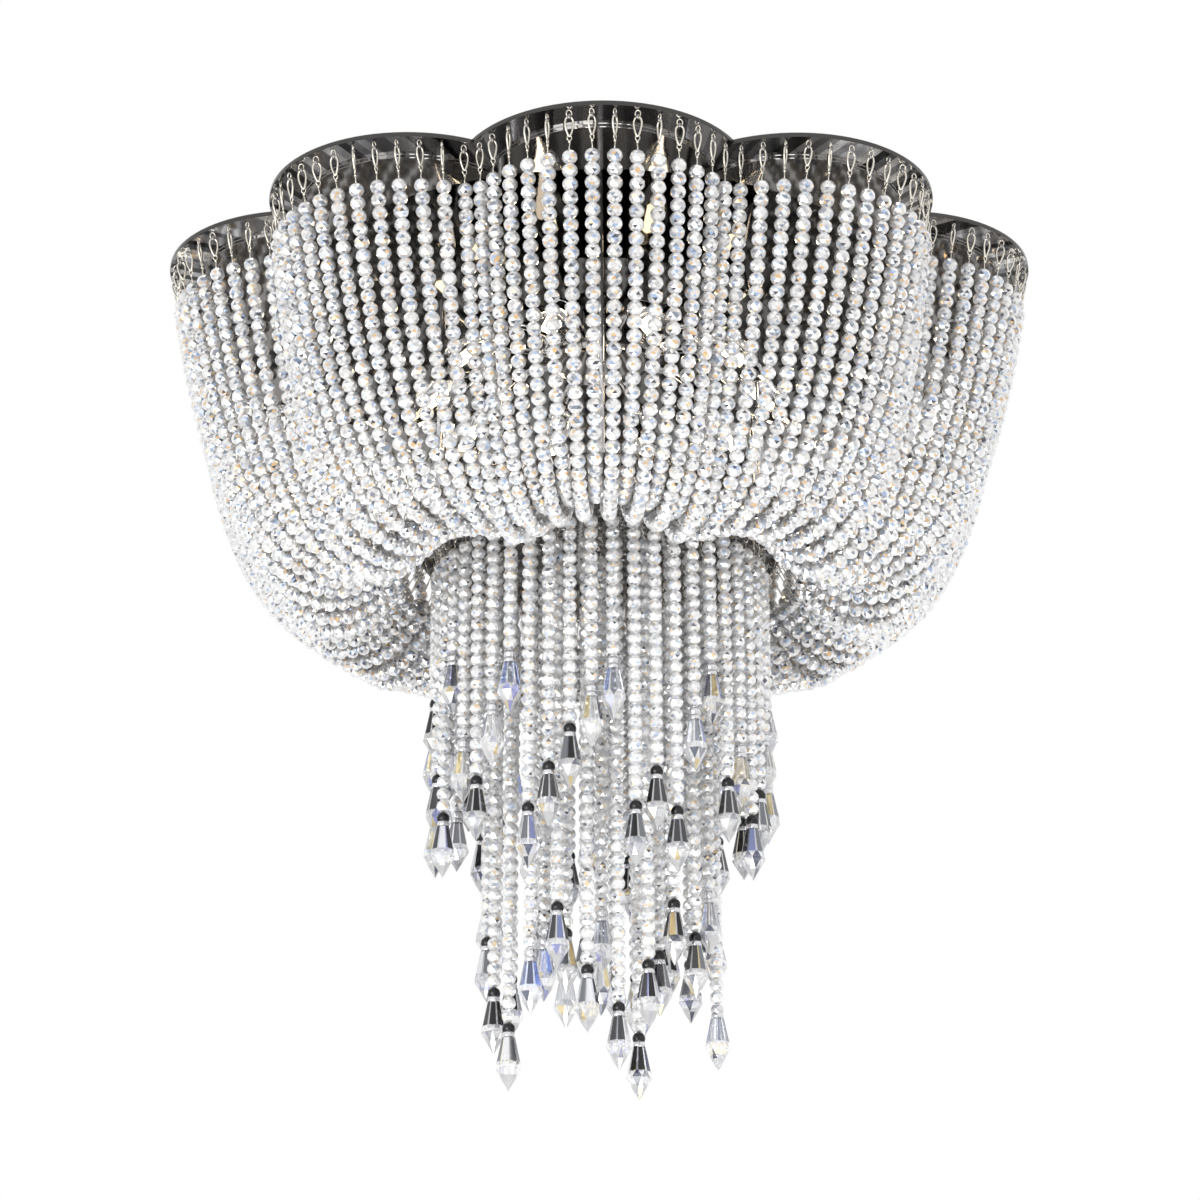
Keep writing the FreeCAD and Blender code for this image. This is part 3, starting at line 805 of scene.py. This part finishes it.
def rod_nuts():
    radius, height = ROD_NUT
    cut_to, cut_from = radius * NUT_CHAMFER[0], height * NUT_CHAMFER[1]
    low, edge, top = (cut_to, -height), (radius, -cut_from), (radius, 0.0)
    nut = stack([ring(r, z, NUT_SIDES) for r, z in (low, edge, top)])
    batch = Batch()
    places = np.array([at(ROD_RADIUS, azimuth, DISH_Z) for azimuth in around()])
    batch.add(nut, places, turned_to(np.tile([0.0, 0.0, 1.0], (LOBES, 1)), np.zeros(LOBES)), CHROME)
    return batch.build("rod_hexagon_nuts")


def lamp_arms():
    batch = Batch()
    for azimuth in around(0.5):
        path = [at(r * MM, azimuth, z * MM) for r, z in ARM_PATH]
        batch.put(tube(path, ARM_R, ARM_SIDES), CHROME, smooth=True)
    return batch.build("bent_arms", sharp=TUBE_SHARP)


def lamp_places():
    """Where each lampholder starts, and the rotation that points its axis down and outwards."""
    r, z = ARM_PATH[-1]
    places = np.array([at(r * MM, azimuth, z * MM) for azimuth in around(0.5)])
    axes = np.array([at(math.cos(LAMP_TILT), azimuth, -math.sin(LAMP_TILT)) for azimuth in around(0.5)])
    return places, turned_to(axes, np.zeros(LOBES))


def lampholders():
    batch = Batch()
    batch.add(lathe(HOLDER_SECTION, HOLDER_SIDES), *lamp_places(), CHROME, smooth=True)
    return batch.build("lampholder_cups", sharp=LATHE_SHARP)


def bulbs():
    batch = Batch()
    batch.add(lathe(BULB_SECTION, BULB_SIDES), *lamp_places(), BULB_GLASS, smooth=True)
    batch.add(lathe(FILAMENT_SECTION, FILAMENT_SIDES), *lamp_places(), FILAMENT_GLOW, smooth=True)
    return batch.build("candle_bulbs")


# ---------------------------------------------------------------- studio
def seen_rays(tree):
    """1 for what the camera sees directly, in gloss or through glass, and 0 for other light."""
    path = tree.nodes.new("ShaderNodeLightPath")
    seen = path.outputs["Is Camera Ray"]
    for ray in ("Is Glossy Ray", "Is Transmission Ray"):
        either = tree.nodes.new("ShaderNodeMath")
        either.operation = "MAXIMUM"
        tree.links.new(seen, either.inputs[0])
        tree.links.new(path.outputs[ray], either.inputs[1])
        seen = either.outputs[0]
    return seen


def studio_floor():
    mesh = bpy.data.meshes.new("studio_floor")
    signs = ((-1, -1), (1, -1), (1, 1), (-1, 1))
    mesh.from_pydata([(x * FLOOR_HALF, y * FLOOR_HALF, FLOOR_Z) for x, y in signs], [], [(0, 1, 2, 3)])
    floor = bpy.data.objects.new("studio_floor", mesh)
    bpy.context.scene.collection.objects.link(floor)
    made, tree, shader = material("pale_floor", Roughness=0.8)
    shader.inputs["Base Color"].default_value = FLOOR_COLOUR
    shader.inputs["Emission Color"].default_value = WHITE
    paler = tree.nodes.new("ShaderNodeMapRange")
    paler.inputs["To Max"].default_value = FLOOR_LIFT
    tree.links.new(seen_rays(tree), paler.inputs["Value"])
    tree.links.new(paler.outputs["Result"], shader.inputs["Emission Strength"])
    mesh.materials.append(made)


def studio_world():
    """White to the camera, to gloss and to glass; plain soft light to everything else."""
    world = bpy.data.worlds.new("studio")
    bpy.context.scene.world = world
    world.use_nodes = True
    tree = world.node_tree
    background = tree.nodes["Background"]
    background.inputs["Color"].default_value = WHITE
    strength = tree.nodes.new("ShaderNodeMapRange")
    strength.inputs["To Min"].default_value = AMBIENT
    strength.inputs["To Max"].default_value = 1.0
    tree.links.new(seen_rays(tree), strength.inputs["Value"])
    tree.links.new(strength.outputs["Result"], background.inputs["Strength"])


def area_lamp(name, place, size, power, in_gloss):
    data = bpy.data.lights.new(name, "AREA")
    data.size = size
    data.energy = power
    lamp = bpy.data.objects.new(name, data)
    lamp.location = place
    lamp.rotation_euler = (LAMP_AIM - Vector(place)).to_track_quat("-Z", "Y").to_euler()
    lamp.visible_glossy = in_gloss
    bpy.context.scene.collection.objects.link(lamp)


def lamp_glow():
    """Warm light of the ten lamps inside the bowl."""
    data = bpy.data.lights.new("lamp_glow", "POINT")
    data.shadow_soft_size = GLOW_RADIUS
    data.energy = GLOW_POWER
    data.color = GLOW_COLOUR
    lamp = bpy.data.objects.new("lamp_glow", data)
    lamp.location = GLOW_PLACE
    lamp.visible_glossy = False
    bpy.context.scene.collection.objects.link(lamp)


def camera():
    data = bpy.data.cameras.new("camera")
    data.lens = CAMERA_LENS
    data.sensor_width = CAMERA_SENSOR
    data.clip_end = CAMERA_REACH
    made = bpy.data.objects.new("camera", data)
    turn = (CAMERA_AIM - CAMERA_PLACE).to_track_quat("-Z", "Y").to_matrix().to_4x4()
    made.matrix_world = Matrix.Translation(CAMERA_PLACE) @ turn @ Matrix.Rotation(CAMERA_ROLL, 4, "Z")
    bpy.context.scene.collection.objects.link(made)
    bpy.context.scene.camera = made


# ---------------------------------------------------------------- the whole scene
def dress(piece, slot, *nodes):
    """The piece stands for the CAD nodes on the frame body."""
    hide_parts(*nodes)
    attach(piece, "frame")


def repaint(node, finish):
    """The CAD node keeps its shape and gets a finish of its own."""
    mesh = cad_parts[node].data
    mesh.materials.clear()
    mesh.materials.append(finish)


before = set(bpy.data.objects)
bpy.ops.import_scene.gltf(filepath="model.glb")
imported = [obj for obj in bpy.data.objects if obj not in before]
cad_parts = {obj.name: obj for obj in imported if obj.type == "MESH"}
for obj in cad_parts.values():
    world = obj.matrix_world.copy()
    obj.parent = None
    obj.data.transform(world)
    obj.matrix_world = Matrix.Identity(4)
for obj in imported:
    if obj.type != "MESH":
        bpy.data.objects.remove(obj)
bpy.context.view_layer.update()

dress(canopy_pan(), "black_nickel", "canopy_pan")
for lobe in range(LOBES):
    dress(bowl_strands(lobe), "cut_crystal", "bowl_strands_%02d" % (lobe + 1))
dress(rim_clips(), "silver_wire", "rim_hooks")
for tier, per_group, groups, radius, first in TIERS:
    for group in range(groups):
        pendant_group(tier, per_group, groups, radius, first, group)
dress(lower_dish(), "black_nickel", "lower_dish")
dress(lamp_hub(), "black_nickel", "lamp_hub")
dress(suspension_rods(), "chrome", "suspension_rods")
dress(rod_nuts(), "chrome", "suspension_rod_nuts")
dress(lamp_arms(), "chrome", "lamp_arms")
dress(lampholders(), "chrome", "lampholders")
dress(bulbs(), "clear_glass", "bulbs")
repaint("ceiling_bracket", ZINC)
repaint("terminal_block", WHITE_PLASTIC)
repaint("canopy_cap_nuts", BLACK_NICKEL)

studio_floor()
studio_world()
for name, place, size, power, in_gloss in STUDIO_LAMPS:
    area_lamp(name, place, size, power, in_gloss)
lamp_glow()
camera()
bpy.context.scene.view_settings.view_transform = "Standard"
